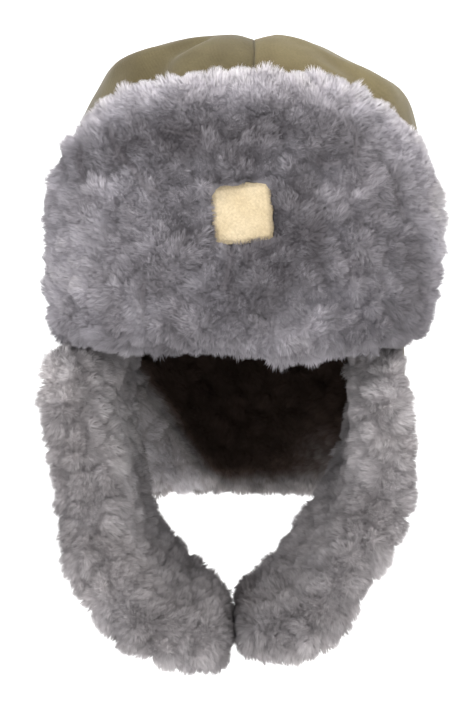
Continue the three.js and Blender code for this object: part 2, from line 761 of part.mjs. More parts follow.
const curtain = new THREE.Group();
const tabRoom = tabGeometry(0.5);
curtain.add(named("ear_flap_cloth_right", clothGeometry(rightEarFlap), MATERIALS.olive));
curtain.add(
  named(
    "ear_flap_fur_right",
    cut(furGeometry(rightEarFlap), tabRoom, beyondMiddle(1), ...aboveEarFur()),
    MATERIALS.fur,
  ),
);
curtain.add(named("ear_flap_cloth_left", clothGeometry(leftEarFlap), MATERIALS.olive));
curtain.add(
  named(
    "ear_flap_fur_left",
    cut(furGeometry(leftEarFlap), tabRoom, beyondMiddle(-1), ...aboveEarFur()),
    MATERIALS.fur,
  ),
);
curtain.add(named("neck_flap_cloth", clothGeometry(neckFlap), MATERIALS.olive));
curtain.add(named("neck_flap_fur", furGeometry(neckFlap), MATERIALS.fur));
curtain.add(named("chin_tab", tabGeometry(0), MATERIALS.tab));

hat.add(crown, front, curtain);
hat.position.z = -SEAT_HEIGHT;

export default hat;
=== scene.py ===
"""Looks of a fur winter cap: its fur coats, cloth crown and flaps, patch and tab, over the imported
frame. Metres, +Z up, the face looks along -Y. Everything is seeded and made in this script."""

import math
from types import SimpleNamespace

import bmesh
import bpy
import numpy as np
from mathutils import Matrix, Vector
from mathutils import noise as fractal
from mathutils.bvhtree import BVHTree
from mathutils.kdtree import KDTree


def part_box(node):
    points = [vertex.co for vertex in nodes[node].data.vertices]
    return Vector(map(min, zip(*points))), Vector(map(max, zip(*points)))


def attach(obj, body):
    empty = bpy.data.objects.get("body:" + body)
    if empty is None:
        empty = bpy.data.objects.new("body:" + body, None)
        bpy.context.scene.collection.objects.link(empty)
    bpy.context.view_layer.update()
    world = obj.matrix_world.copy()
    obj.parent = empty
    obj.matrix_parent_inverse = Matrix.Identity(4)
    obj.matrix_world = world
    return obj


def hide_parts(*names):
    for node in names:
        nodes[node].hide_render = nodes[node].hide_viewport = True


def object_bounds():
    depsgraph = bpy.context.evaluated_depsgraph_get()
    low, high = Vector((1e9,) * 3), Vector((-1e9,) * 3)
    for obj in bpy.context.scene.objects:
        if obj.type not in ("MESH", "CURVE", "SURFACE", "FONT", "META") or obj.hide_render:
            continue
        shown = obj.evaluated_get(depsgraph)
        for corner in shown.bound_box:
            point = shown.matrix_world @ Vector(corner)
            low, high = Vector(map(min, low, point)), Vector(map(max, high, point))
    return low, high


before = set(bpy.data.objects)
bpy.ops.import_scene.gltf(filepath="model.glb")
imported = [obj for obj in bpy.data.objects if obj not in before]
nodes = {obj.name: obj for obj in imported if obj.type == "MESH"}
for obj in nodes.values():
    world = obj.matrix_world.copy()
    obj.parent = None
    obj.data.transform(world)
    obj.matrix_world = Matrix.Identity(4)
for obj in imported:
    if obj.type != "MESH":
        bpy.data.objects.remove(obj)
cad_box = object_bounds()

MM = 0.001
RIM_Z = -169 * MM  # the frame's origin is under the crown, 169 mm above the rim

# The photograph: its size in pixels, metres a pixel at the hat's middle, and the camera's distance.
PHOTO_WIDTH, PHOTO_HEIGHT = 465, 706
PIXEL = 0.58 * MM
CAMERA_DISTANCE = 1.5
CAMERA_X = -7.25 * MM
CAMERA_BELOW_RIM = 12 * MM


# Small helpers


def smoothstep(low, high, value):
    t = np.clip((value - low) / (high - low), 0, 1)
    return t * t * (3 - 2 * t)


def unit(vectors):
    return vectors / np.maximum(np.linalg.norm(vectors, axis=-1, keepdims=True), 1e-9)


def between(least, most, share):
    return least + (most - least) * share


def noise_at(points, size, seed=0.0):
    """Smooth noise from -1 to 1 at each point, with lumps of about that size."""
    shift = Vector((seed * 17.3, seed * 5.1, seed * 9.7))
    return np.array([fractal.noise(Vector(p) / size + shift) for p in points])


def new_object(name, mesh):
    obj = bpy.data.objects.new(name, mesh)
    bpy.context.scene.collection.objects.link(obj)
    return obj


def smooth_faces(mesh):
    mesh.polygons.foreach_set("use_smooth", np.ones(len(mesh.polygons), bool))


def move_points(mesh, points):
    mesh.vertices.foreach_set("co", points.astype(np.float32).ravel())
    mesh.update()


def mesh_of(name, points, faces):
    """A mesh of any faces."""
    mesh = bpy.data.meshes.new(name)
    mesh.from_pydata([tuple(p) for p in points], [], [tuple(int(i) for i in f) for f in faces])
    mesh.validate()
    smooth_faces(mesh)
    mesh.update()
    return mesh


def triangle_mesh(name, points, triangles):
    """A mesh of many triangles, made fast from arrays."""
    mesh = bpy.data.meshes.new(name)
    mesh.vertices.add(len(points))
    mesh.vertices.foreach_set("co", points.astype(np.float32).ravel())
    mesh.loops.add(triangles.size)
    mesh.loops.foreach_set("vertex_index", triangles.astype(np.int32).ravel())
    mesh.polygons.add(len(triangles))
    mesh.polygons.foreach_set("loop_start", np.arange(0, triangles.size, 3, dtype=np.int32))
    smooth_faces(mesh)
    mesh.update(calc_edges=True)
    return mesh


def shell_faces(at, flip=False):
    """The faces of two grids of points and of the edges that join them, as (first, second, edges).
    at holds the points' numbers by grid, row and column."""

    def grid(layer, flip):
        a, b = layer[:-1, :-1], layer[:-1, 1:]
        c, d = layer[1:, 1:], layer[1:, :-1]
        return np.stack([a, d, c, b] if flip else [a, b, c, d], axis=-1).reshape(-1, 4)

    def edge(line, other, flip):
        a, b = line[:-1], line[1:]
        c, d = other[1:], other[:-1]
        return np.stack([a, b, c, d] if flip else [a, d, c, b], axis=-1)

    first, second = at
    edges = np.concatenate([
        edge(first[0], second[0], flip),
        edge(first[-1], second[-1], not flip),
        edge(first[:, 0], second[:, 0], not flip),
        edge(first[:, -1], second[:, -1], flip),
    ])
    return grid(first, flip), grid(second, not flip), edges


def apply_modifiers(obj):
    graph = bpy.context.evaluated_depsgraph_get()
    mesh = bpy.data.meshes.new_from_object(obj.evaluated_get(graph))
    old = obj.data
    obj.modifiers.clear()
    obj.data = mesh
    bpy.data.meshes.remove(old)


def arrays_of(mesh):
    """Points, triangles and point normals of a mesh."""
    mesh.calc_loop_triangles()
    points = np.zeros(len(mesh.vertices) * 3, np.float32)
    mesh.vertices.foreach_get("co", points)
    normals = np.zeros(len(mesh.vertices) * 3, np.float32)
    mesh.vertices.foreach_get("normal", normals)
    triangles = np.zeros(len(mesh.loop_triangles) * 3, np.int32)
    mesh.loop_triangles.foreach_get("vertices", triangles)
    return (
        points.reshape(-1, 3).astype(float),
        triangles.reshape(-1, 3),
        normals.reshape(-1, 3).astype(float),
    )


def tree_of(names):
    """A search tree over the solids of those CAD nodes."""
    points, faces = [], []
    for name in names:
        more, triangles, _ = arrays_of(nodes[name].data)
        faces += (triangles + len(points)).tolist()
        points += more.tolist()
    return BVHTree.FromPolygons(points, faces)


def place(obj, replaced, slot, material):
    obj.data.materials.clear()
    obj.data.materials.append(material)
    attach(obj, "root")
    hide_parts(*replaced)


# Materials

# The Mix node's colour sockets share their names with others of its sockets, so they go by number.
MIX_FIRST, MIX_SECOND, MIX_RESULT = 6, 7, 2
THROUGH_A_HAIR = 0.28  # how much of the light that meets the pile goes through
TWILL_RIDGES = 238.74  # to the metre
OLIVE = (0.13, 0.106, 0.052)
OLIVE_DARK = (0.102, 0.081, 0.038)
# Painted shade: the front right panel is made darker, for the shade that it lies in.
PAINTED_SHADE = 0.74
OLIVE_IN_PAINTED_SHADE = tuple(PAINTED_SHADE * part for part in OLIVE)
OLIVE_IN_PAINTED_SHADE_DARK = tuple(PAINTED_SHADE * part for part in OLIVE_DARK)


def new_material(name, roughness, sheen=0.0, sheen_roughness=0.5):
    """A material and its nodes: (material, shader, add) where add makes a node of a type."""
    material = bpy.data.materials.new(name)
    material.use_nodes = True
    tree = material.node_tree
    shader = tree.nodes["Principled BSDF"]
    shader.inputs["Roughness"].default_value = roughness
    shader.inputs["Specular IOR Level"].default_value = 0.2
    shader.inputs["Sheen Weight"].default_value = sheen
    shader.inputs["Sheen Roughness"].default_value = sheen_roughness

    def add(kind, **settings):
        node = tree.nodes.new(kind)
        for key, value in settings.items():
            if key in node.inputs:
                node.inputs[key].default_value = value
            else:
                setattr(node, key, value)
        return node

    return material, shader, add


def link(material, source, output, target, socket):
    """Joins two nodes at sockets given by name or number."""
    material.node_tree.links.new(source.outputs[output], target.inputs[socket])


def object_noise(material, add, scale, detail=3.0):
    """Noise over the object's own coordinates, in lumps to the metre."""
    place_node = add("ShaderNodeTexCoord")
    texture = add("ShaderNodeTexNoise", Scale=scale, Detail=detail)
    link(material, place_node, "Object", texture, "Vector")
    return texture


def ramp(material, add, source, output, stops):
    """A colour ramp over a node's output; stops are (place, colour)."""
    node = add("ShaderNodeValToRGB")
    elements = node.color_ramp.elements
    while len(elements) < len(stops):
        elements.new(0.5)
    for element, (where, colour) in zip(elements, stops):
        element.position = where
        element.color = (*colour, 1)
    link(material, source, output, node, "Fac")
    return node


def multiply(material, add, first, second):
    """Two nodes' colours multiplied, at the result's MIX_RESULT socket."""
    mix = add("ShaderNodeMix", data_type="RGBA", blend_type="MULTIPLY")
    mix.inputs[0].default_value = 1
    link(material, first, "Color", mix, MIX_FIRST)
    link(material, second, "Color", mix, MIX_SECOND)
    return mix


def fur_material(name):
    """Pile: each hair carries a colour with painted light and shade in it, and dust and wear vary it
    in soft patches. A hair is lit the same from both of its sides, and some light goes through it."""
    material, shader, add = new_material(name, roughness=0.8)
    side = add("ShaderNodeNewGeometry")
    turn = add("ShaderNodeMath", operation="MULTIPLY_ADD")
    turn.inputs[1].default_value = -2
    turn.inputs[2].default_value = 1
    facing = add("ShaderNodeVectorMath", operation="SCALE")
    link(material, side, "Backfacing", turn, 0)
    link(material, side, "Normal", facing, 0)
    link(material, turn, "Value", facing, "Scale")
    link(material, facing, "Vector", shader, "Normal")
    # The hairs' colours, with painted light and shade in them.
    shade = add("ShaderNodeAttribute", attribute_name="hair_colour_painted_light")
    patches = object_noise(material, add, scale=38, detail=2)
    wear = ramp(material, add, patches, "Fac", [(0.3, (0.86, 0.85, 0.84)), (0.7, (1, 1, 1))])
    colour = multiply(material, add, shade, wear)
    link(material, colour, MIX_RESULT, shader, "Base Color")
    through = add("ShaderNodeBsdfTranslucent")
    link(material, colour, MIX_RESULT, through, "Color")
    link(material, facing, "Vector", through, "Normal")
    both = add("ShaderNodeMixShader", Fac=THROUGH_A_HAIR)
    link(material, shader, "BSDF", both, 1)
    link(material, through, "BSDF", both, 2)
    link(material, both, "Shader", material.node_tree.nodes["Material Output"], "Surface")
    return material


def cloth_material(name, colour, dark):
    """Cotton twill: a fine diagonal weave, mottled colour and a little sheen."""
    material, shader, add = new_material(name, roughness=0.85, sheen=0.12, sheen_roughness=0.4)
    mottle = object_noise(material, add, scale=55, detail=5)
    base = ramp(material, add, mottle, "Fac", [(0.32, dark), (0.66, colour)])
    fine = object_noise(material, add, scale=900, detail=2)
    grain = ramp(material, add, fine, "Fac", [(0.3, (0.86, 0.86, 0.86)), (0.7, (1.06, 1.06, 1.06))])
    tint = multiply(material, add, base, grain)
    link(material, tint, MIX_RESULT, shader, "Base Color")
    where = add("ShaderNodeTexCoord")
    turn = add("ShaderNodeMapping")
    turn.inputs["Rotation"].default_value = (0.6, 0.5, 0.78)
    link(material, where, "Object", turn, "Vector")
    twill = add("ShaderNodeTexWave", Scale=TWILL_RIDGES, Distortion=0.6, Detail=1)
    link(material, turn, "Vector", twill, "Vector")
    relief = add("ShaderNodeBump", Strength=0.25, Distance=0.3 * MM)
    link(material, twill, "Fac", relief, "Height")
    link(material, relief, "Normal", shader, "Normal")
    return material


# Crown

# How far the crown reaches to each side on its way up from the rim, in mm. "up" is the share of
# the way along a panel, and right and left are the wearer's.
CROWN_SHAPE = 2.3  # exponent of its plan: 2 is an ellipse, more is squarer
CROWN_COLUMNS = ("up", "height", "right", "left", "front", "back", "middle")
CROWN = np.array([
    (0.0, 0.4, 91, 91, 105, 107, 0),
    (0.16, 45, 95, 97, 106, 111, 0),
    (0.34, 92, 98, 100.5, 103, 111, 0.45),
    (0.46, 118, 97, 97, 98, 106, 2),
    (0.56, 139, 90, 86, 87, 96, 4),
    (0.66, 155, 80, 56, 72, 81, 5),
    (0.78, 165, 55, 37, 53, 58, 5),
    (0.9, 169, 31, 20, 28, 29, 5),
    (1.0, 169.6, 1.6, 1.6, 1.6, 1.6, 5),
])
# Folds: where each begins and ends, as a bearing in degrees and a share of the way up, then its
# depth and width in mm. A ridge's depth is negative.
FOLD_COLUMNS = ("from_bearing", "from_up", "to_bearing", "to_up", "depth", "width")
CROWN_FOLDS = [
    (-32, 0.78, -38, 0.5, 4.5, 10),
    (-62, 0.62, -48, 0.68, -2, 12),
    (24, 0.84, 62, 0.55, -0.7, 9),
    (40, 0.6, 48, 0.45, 3, 12),
    (128, 0.72, 140, 0.4, 4, 12),
    (222, 0.7, 212, 0.36, 4, 13),
    (166, 0.5, 176, 0.28, 2.5, 12),
]
# The rest of the crown's sizes are in mm.
CROWN_HEIGHT = 171
CROWN_CLOTH = 2.0
PANEL_LENGTH = 260  # from the rim to the top along a panel
MM_PER_DEGREE = 1.5  # round the crown, where its folds are
SEAM_DIP_DEPTH, SEAM_DIP_WIDTH = 2.6, 7
SEAM_ROLL = 1.2  # the radius at which a panel's edge turns in at a seam
SEAM_TRIM = 0.02  # how far a panel's edge stays from the middle of its seam
PUCKER_DEPTH, PUCKER_STEP = 0.28, 1.25
PUCKER_OFF_SEAM, PUCKER_WIDTH = 5, 3.5
BROAD_CREASE, BROAD_CREASE_DEPTH = 34, 1.1
FINE_CREASE, FINE_CREASE_DEPTH = 14, 0.35
RIM_TURN_IN, RIM_TURN_DOWN = 0.7, 1.1
PANEL_ROWS, PANEL_COLUMNS = 72, 56


def crown_column(name, up):
    """A column of the crown's table on a smooth curve through its rows."""
    keys = CROWN[:, 0]
    values = CROWN[:, CROWN_COLUMNS.index(name)]
    slopes = np.empty_like(values)
    slopes[1:-1] = (values[2:] - values[:-2]) / (keys[2:] - keys[:-2])
    slopes[0] = (values[1] - values[0]) / (keys[1] - keys[0])
    slopes[-1] = (values[-1] - values[-2]) / (keys[-1] - keys[-2])
    i = np.clip(np.searchsorted(keys, up, side="right") - 1, 0, len(keys) - 2)
    span = keys[i + 1] - keys[i]
    t = (up - keys[i]) / span
    t2, t3 = t * t, t * t * t
    return (
        values[i] * (2 * t3 - 3 * t2 + 1)
        + values[i + 1] * (3 * t2 - 2 * t3)
        + slopes[i] * span * (t3 - 2 * t2 + t)
        + slopes[i + 1] * span * (t3 - t2)
    )


def crown_points(up, bearing):
    """Points of the crown's outer face, in mm from the rim's middle; up and bearing are arrays."""
    angle = np.radians(bearing)
    sine, cosine = np.sin(angle), np.cos(angle)
    side = np.where(sine > 0, crown_column("left", up), crown_column("right", up))
    ahead = np.where(cosine > 0, crown_column("front", up), crown_column("back", up))
    power = 2 / CROWN_SHAPE
    middle = crown_column("middle", up)
    x = middle + side * np.sign(sine) * np.abs(sine) ** power
    y = -ahead * np.sign(cosine) * np.abs(cosine) ** power
    z = crown_column("height", up)
    near_seam = np.minimum(np.abs(x - middle), np.abs(y))
    inwards = SEAM_DIP_DEPTH * np.exp(-((near_seam / SEAM_DIP_WIDTH) ** 2))
    for row in CROWN_FOLDS:
        fold = dict(zip(FOLD_COLUMNS, row))
        across = (fold["to_bearing"] - fold["from_bearing"]) * MM_PER_DEGREE
        along = (fold["to_up"] - fold["from_up"]) * PANEL_LENGTH
        here_across = ((bearing - fold["from_bearing"] + 540) % 360 - 180) * MM_PER_DEGREE
        here_along = (up - fold["from_up"]) * PANEL_LENGTH
        share = (here_across * across + here_along * along) / (across**2 + along**2)
        share = np.clip(share, 0, 1)
        off = np.hypot(here_across - share * across, here_along - share * along)
        inwards = inwards + fold["depth"] * np.exp(-((off / fold["width"]) ** 2))
    # Nothing dips at the rim, and little where the seams cross.
    inwards = inwards * np.clip(up * 6, 0, 1) * np.clip((1 - up) * 12, 0.25, 1)
    points = np.stack([x, y, z], axis=-1)
    outwards = unit(points - np.array([0, 0, CROWN_HEIGHT * 0.4]))
    return points - outwards * inwards[..., None]


def crown_normals(up, bearing):
    """The crown's directions outwards, from points a little to each side of each place."""
    across = crown_points(up, bearing + 0.5) - crown_points(up, bearing - 0.5)
    along = crown_points(np.minimum(up + 0.004, 1), bearing) - crown_points(
        np.maximum(up - 0.004, 0), bearing
    )
    return unit(np.cross(across, along))


def panel_places(from_bearing):
    """How far up, and at which bearing, each point of a panel lies. Its columns are closer together
    near the seams."""
    up = np.linspace(0, 1, PANEL_ROWS)[:, None] * np.ones((1, PANEL_COLUMNS))
    share = np.linspace(0, 1, PANEL_COLUMNS)
    share = 0.5 - 0.5 * np.cos(math.pi * (0.12 + 0.76 * share))
    share = (share - share[0]) / (share[-1] - share[0])
    crossing = crown_column("middle", up[:, :1])
    corner = crown_points(up[:, :1], np.full((PANEL_ROWS, 1), from_bearing + 45.0))
    radius = np.hypot(corner[..., 0] - crossing, corner[..., 1])
    trim = np.degrees(SEAM_TRIM / radius)
    return up, from_bearing + trim + (90 - 2 * trim) * share[None, :]


def panel_relief(points, up, to_seam, from_bearing):
    """How far a panel's outer face stands out: its creases, and the puckers along its seams."""
    steps = up * PANEL_LENGTH / PUCKER_STEP + from_bearing
    beside_seam = np.exp(-(((to_seam - PUCKER_OFF_SEAM) / PUCKER_WIDTH) ** 2))
    flat = points.reshape(-1, 3)
    crease = (
        noise_at(flat, BROAD_CREASE, from_bearing + 3) * BROAD_CREASE_DEPTH
        + noise_at(flat, FINE_CREASE, from_bearing) * FINE_CREASE_DEPTH
    )
    crease = crease.reshape(up.shape) * np.clip(to_seam / 12, 0, 1) * np.clip(up * 8, 0, 1)
    return crease + PUCKER_DEPTH * np.sin(steps) * beside_seam


def crown_panel(name, node, from_bearing, cloth, inner_painted_shade):
    """One panel: a fine mesh whose edges turn in at the seams and at the rim."""
    up, bearing = panel_places(from_bearing)
    points = crown_points(up, bearing)
    normals = crown_normals(up, bearing)
    crossing = crown_column("middle", up[:, :1])
    to_seam = np.minimum(np.abs(points[..., 0] - crossing), np.abs(points[..., 1]))
    roll = np.clip(1 - to_seam / SEAM_ROLL, 0, 1)
    turn_in = SEAM_ROLL * (1 - np.sqrt(1 - roll**2 * 0.96))
    relief = panel_relief(points, up, to_seam, from_bearing)
    outer = points + normals * (relief - turn_in)[..., None]
    inner = points - normals * CROWN_CLOTH
    inner[..., 0] = np.where(to_seam < SEAM_ROLL, points[..., 0], inner[..., 0])
    down = np.array([0, 0, -RIM_TURN_DOWN])
    outer[0] += normals[0] * -RIM_TURN_IN + down
    inner[0] += down
    both = np.concatenate([outer.reshape(-1, 3), inner.reshape(-1, 3)])
    numbers = np.arange(len(both)).reshape(2, PANEL_ROWS, PANEL_COLUMNS)
    outer_faces, inner_faces, edges = shell_faces(numbers)
    placed = both * MM + np.array([0, 0, RIM_Z])
    mesh = mesh_of(name, placed, np.concatenate([outer_faces, inner_faces, edges]))
    obj = new_object(name, mesh)
    place(obj, [node], "olive_cloth", cloth)
    # The inner faces get a near-black cloth: painted shade inside the crown.
    mesh.materials.append(inner_painted_shade)
    inside = np.zeros(len(mesh.polygons), np.int32)
    inside[len(outer_faces) : len(outer_faces) + len(inner_faces)] = 1
    mesh.polygons.foreach_set("material_index", inside)


# Cloth of the flaps

WELD = 0.02 * MM
JOIN_ANGLE, JOIN_SHAPE = math.radians(25), math.radians(60)
SHARP_ANGLE = math.radians(40)  # where a flap's faces meet at more than this, its edge stays sharp
WRINKLE_DEPTH = 0.55 * MM


def flap_cloth(name, node, material):
    """A flap's cloth: the CAD sheet made smooth, with soft wrinkles and no change of form."""
    obj = new_object(name, nodes[node].data.copy())
    weld = obj.modifiers.new("weld", "WELD")
    weld.merge_threshold = WELD
    apply_modifiers(obj)
    work = bmesh.new()
    work.from_mesh(obj.data)
    bmesh.ops.join_triangles(
        work, faces=work.faces, angle_face_threshold=JOIN_ANGLE, angle_shape_threshold=JOIN_SHAPE
    )
    crease = work.edges.layers.float.get("crease_edge") or work.edges.layers.float.new("crease_edge")
    for edge in work.edges:
        if len(edge.link_faces) == 2 and edge.calc_face_angle(0) > SHARP_ANGLE:
            edge[crease] = 1.0
    work.to_mesh(obj.data)
    work.free()
    smooth = obj.modifiers.new("smooth", "SUBSURF")
    smooth.levels = 2
    apply_modifiers(obj)
    mesh = obj.data
    points, _, normals = arrays_of(mesh)
    wrinkle = noise_at(points, 30 * MM, 2) * 0.7 + noise_at(points, 12 * MM, 5) * 0.3
    smooth_faces(mesh)
    move_points(mesh, points + normals * (wrinkle * WRINKLE_DEPTH)[:, None])
    place(obj, [node], "olive_cloth", material)


# Fur

# Tints of the pile: where it is palest, in its middle tones, and down in its shadow.
COOL = np.array([(0.955, 0.925, 0.945), (0.95, 0.908, 0.98), (0.95, 0.86, 0.93)])
WARM = np.array([(0.955, 0.918, 0.93), (0.96, 0.908, 0.93), (0.96, 0.86, 0.86)])
BROWN = np.array([(0.955, 0.92, 0.95), (0.96, 0.9, 0.9), (0.96, 0.62, 0.48)])
# Painted shade deep in the pile: the skin and each hair's foot are darker than its tip.
SKIN_TONE, FOOT_TONE = 0.72, 0.84  # the skin's brightness and a hair's foot's, as shares of its tip's

# What every coat starts from. Lengths are in metres, and leans are shares of a hair's length.
COAT = {
    "voxel": 3 * MM,  # of the grid that the skin is remade on
    "depth": 1.9 * MM,  # how far the skin is drawn in under the solid's face
    "above": 2.3 * MM,  # how far the hairs stand above that face
    "lock": 3.2 * MM,
    "tuft": 15 * MM,
    "relief": 2.1 * MM,  # of the tufts
    "wave": 1.8 * MM,
    "room": 3 * MM,  # the least that a hair needs before it meets a hard piece
    "width": 0.6 * MM,
    "lock_lean": 0.24,
    "tuft_lean": 0.32,
    "stray": 0.14,
    # Painted shade: the pile is darker in the furrows between tufts.
    "cleft": 0.24,  # how much darker it is between tufts
    "hairs": 178000,
    "comb": np.array([0, 0, -0.2]),
    "tint": WARM,
}
COARSE, FINE = 30 * MM, 18 * MM  # sizes of the smooth noise that bends and strays the tufts
SPARE = 1.25  # places tried for each hair, as some have no room
FOOT_DEPTH = 0.4 * MM  # how far a hair's foot is sunk in the skin


def fur_skin(name, node, voxel):
    """The skin under a coat: the CAD fur, made even and smooth."""
    obj = new_object(name, nodes[node].data.copy())
    even = obj.modifiers.new("even", "REMESH")
    even.mode = "VOXEL"
    even.voxel_size = voxel
    soft = obj.modifiers.new("soft", "SMOOTH")
    soft.factor = 0.5
    soft.iterations = 9
    apply_modifiers(obj)
    return obj


def draw_in(mesh, most, coat):
    """Draws a skin in along its normals, by less where the coat is thin. Returns its points,
    triangles and normals, how far each point is drawn in, and how far it then lies under the coat."""
    thin_share, farthest, nearest, search = 0.33, 60 * MM, 0.2 * MM, 15 * MM
    points, triangles, normals = arrays_of(mesh)
    tree = BVHTree.FromPolygons(points.tolist(), triangles.tolist())
    depth = np.empty(len(points))
    for i, (point, normal) in enumerate(zip(points, normals)):
        inwards = Vector(-normal)
        hit = tree.ray_cast(Vector(point) + inwards * nearest, inwards, farthest)
        thick = hit[3] if hit[3] is not None else farthest
        depth[i] = min(most, thin_share * thick)
    moved = points - normals * depth[:, None]
    smooth_faces(mesh)
    move_points(mesh, moved)
    under = np.array([
        coat.ray_cast(Vector(point), Vector(normal), search)[3] or 0
        for point, normal in zip(moved, normals)
    ])
    return moved, triangles, normals, depth, np.maximum(under, depth)


def scattered(points, triangles, count, random):
    """Evenly scattered places on triangles: which triangle, and the weights of its corners."""
    a, b, c = (points[triangles[:, k]] for k in range(3))
    area = np.linalg.norm(np.cross(b - a, c - a), axis=1)
    total = np.cumsum(area)
    picks = (np.arange(count) + random.random(count)) / count * total[-1]
    which = np.searchsorted(total, picks)
    u, v = random.random((2, count))
    flip = u + v > 1
    u[flip], v[flip] = 1 - u[flip], 1 - v[flip]
    return which, np.stack([1 - u - v, u, v], axis=1)


def spread(points, apart):
    """Numbers of points picked so that no two are nearer than that."""
    grid, picked = {}, []
    reach = (-1, 0, 1)
    for i, point in enumerate(points):
        cell = tuple((point // apart).astype(int))
        near = [
            j for dx in reach for dy in reach for dz in reach
            for j in grid.get((cell[0] + dx, cell[1] + dy, cell[2] + dz), ())
        ]
        if not near or np.sum((points[near] - point) ** 2, axis=1).min() > apart**2:
            grid.setdefault(cell, []).append(i)
            picked.append(i)
    return np.array(picked)


def middles_of(points, size, random):
    """The middles of locks of about that size all over the points."""
    tried, closest = 26000, 0.74
    some = random.choice(len(points), min(len(points), tried), replace=False)
    return points[some[spread(points[some], size * closest)]]


def locks_of(points, middles):
    """Groups points in locks: each one's lock, and how deep inside the lock it is, from 0 at its
    edge to 1 at its middle."""
    tree = KDTree(len(middles))
    for k, middle in enumerate(middles):
        tree.insert(middle, k)
    tree.balance()
    found = [tree.find_n(point, 2) for point in points]
    lock = np.array([pair[0][1] for pair in found])
    near = np.array([pair[0][2] for pair in found])
    far = np.array([pair[1][2] for pair in found])
    return lock, (far - near) / (far + near)


def strayed(points, seed):
    """Points moved a little by smooth noise, so that the tufts found from them are uneven."""
    return points + 7 * MM * np.stack([noise_at(points, FINE, seed + k) for k in (5, 6, 7)], axis=1)


def swell(mesh, points, normals, depth, tufts, settings):
    """Swells a skin into rounded tufts, with furrows between them, and broad soft waves. Returns
    its new points and normals."""
    _, within = locks_of(strayed(points, settings["seed"]), tufts)
    rise = (smoothstep(0, 0.55, within) - 0.65) * settings["relief"]
    rise = rise + noise_at(points, COARSE, settings["seed"] + 9) * settings["wave"]
    rise = rise * np.minimum(depth / settings["depth"], 1)
    move_points(mesh, points + normals * rise[:, None])
    points, _, normals = arrays_of(mesh)
    return points, normals


def hair_roots(mesh, coat, settings, walls, keep_clear, random):
    """Places for hairs all over a skin, where there is room for them: their roots, the ways they
    grow up and the skin faces, how deep each root lies under the coat, and each one's room."""
    follow, search = 0.2, 14 * MM
    points, triangles, normals, drawn, depth = draw_in(mesh, settings["depth"], coat)
    tufts = middles_of(points, settings["tuft"], random)
    points, faced = swell(mesh, points, normals, drawn, tufts, settings)
    which, weights = scattered(points, triangles, int(settings["hairs"] * SPARE), random)
    corners = triangles[which]
    roots = np.einsum("nk,nkd->nd", weights, points[corners])
    ups = between(normals, faced, follow)
    ups = unit(np.einsum("nk,nkd->nd", weights, ups[corners]))
    faced = unit(np.einsum("nk,nkd->nd", weights, faced[corners]))
    sunk = np.einsum("nk,nk->n", weights, depth[corners])
    room = np.ones(len(roots))
    for i, (root, up) in enumerate(zip(roots, ups)):
        hit = walls.ray_cast(Vector(root), Vector(up), search)
        if hit[3] is not None:
            room[i] = hit[3]
    keep = room > settings["room"]
    if keep_clear is not None:
        keep &= ~keep_clear(roots)
    chosen = np.flatnonzero(keep)
    if len(chosen) > settings["hairs"]:
        chosen = np.sort(random.choice(chosen, settings["hairs"], replace=False))
    return SimpleNamespace(
        roots=roots[chosen], ups=ups[chosen], faced=faced[chosen], sunk=sunk[chosen],
        room=room[chosen], tuft_middles=tufts,
    )


def along_skin(vectors, pile):
    """What is left of vectors at the roots when they are laid flat on the skin."""
    return vectors - pile.ups * (vectors * pile.ups).sum(axis=1, keepdims=True)


def group_hairs(pile, settings, random):
    """Finds each hair's lock and tuft, and how high their domes are where it stands."""
    ragged = random.normal(size=pile.roots.shape) * settings["lock"] * 0.07
    warped = pile.roots + ragged
    pile.lock_middles = middles_of(warped, settings["lock"], random)
    pile.lock, in_lock = locks_of(warped, pile.lock_middles)
    pile.tuft, in_tuft = locks_of(strayed(pile.roots, settings["seed"]), pile.tuft_middles)
    pile.lock_dome = smoothstep(0, 0.55, in_lock)
    pile.tuft_dome = smoothstep(0, 0.4, in_tuft)
    pile.to_middle = along_skin(pile.lock_middles[pile.lock] - pile.roots, pile)


def leans_of(pile, settings, random):
    """How the hairs lean: with a smooth flow, with their lock and tuft, as they are combed, and
    each a little on its own."""
    flow = np.stack([
        noise_at(pile.tuft_middles, COARSE, settings["seed"] + k) for k in (1, 2, 3)
    ], axis=1)[pile.tuft]
    lock_lean = unit(random.normal(size=(len(pile.lock_middles), 3)))[pile.lock]
    tuft_lean = unit(random.normal(size=(len(pile.tuft_middles), 3)))[pile.tuft]
    lean = flow * 0.5 + lock_lean * settings["lock_lean"] + tuft_lean * settings["tuft_lean"]
    return lean + settings["comb"] + random.normal(size=pile.roots.shape) * settings["stray"]


def hair_points(pile, lean, tall, settings, random):
    """Each hair is one thin triangle: two points at its foot and one at its tip. Tips gather a
    little towards the middle of their lock."""
    aim = unit(pile.ups + along_skin(lean, pile))
    pile.lock_height = random.random(len(pile.lock_middles))[pile.lock]
    height = (pile.sunk + settings["above"]) * tall
    height = height * between(0.84, 1, pile.lock_dome) * between(0.86, 1, pile.tuft_dome)
    height = height * between(0.93, 1.05, pile.lock_height)
    height = height * between(0.94, 1.03, random.random(len(height)))
    height = np.minimum(height, pile.room * 0.8)
    upright = np.maximum((aim * pile.ups).sum(axis=1), 0.6)
    tips = pile.roots + aim * (height / upright)[:, None]
    tips = tips + pile.to_middle * between(0.04, 0.14, pile.lock_dome)[:, None]
    width = settings["width"] * between(0.7, 1.3, random.random(len(height)))
    side = unit(np.cross(aim, unit(random.normal(size=aim.shape)))) * (width / 2)[:, None]
    below = pile.roots - pile.ups * FOOT_DEPTH
    return np.stack([below - side, below + side, tips], axis=1).reshape(-1, 3)


